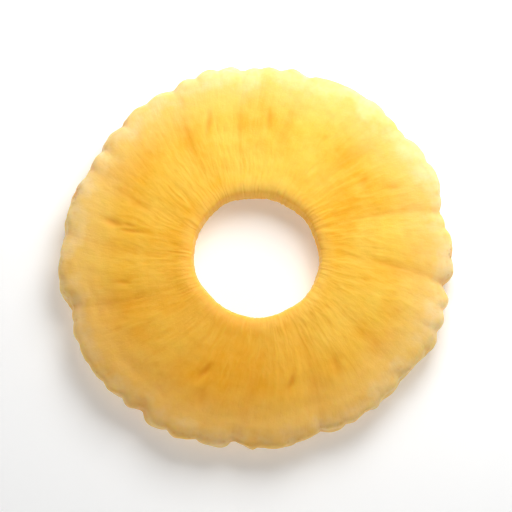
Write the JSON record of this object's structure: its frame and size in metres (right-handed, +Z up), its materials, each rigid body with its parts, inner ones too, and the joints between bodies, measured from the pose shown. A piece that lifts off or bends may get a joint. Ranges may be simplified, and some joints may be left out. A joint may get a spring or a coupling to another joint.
{
  "type": "pineapple ring",
  "caption": "Candied pineapple slice lying flat: a golden ring with a round cored hole, a lobed and scalloped rim and fibrous faces.",
  "frame": {"origin": "middle of the ring's box on the plane it rests on", "axes": "+Z up out of the upper cut face, along the hole; +X to the right and +Y to the top as the ring is seen from above"},
  "size_m": [0.0692, 0.0676, 0.0082],
  "materials": {
    "candied_flesh": "satin, half translucent candied fruit flesh, golden yellow and paler at the rim"
  },
  "bodies": {
    "root": {"pineapple_ring": "candied_flesh"}
  },
  "joints": []
}
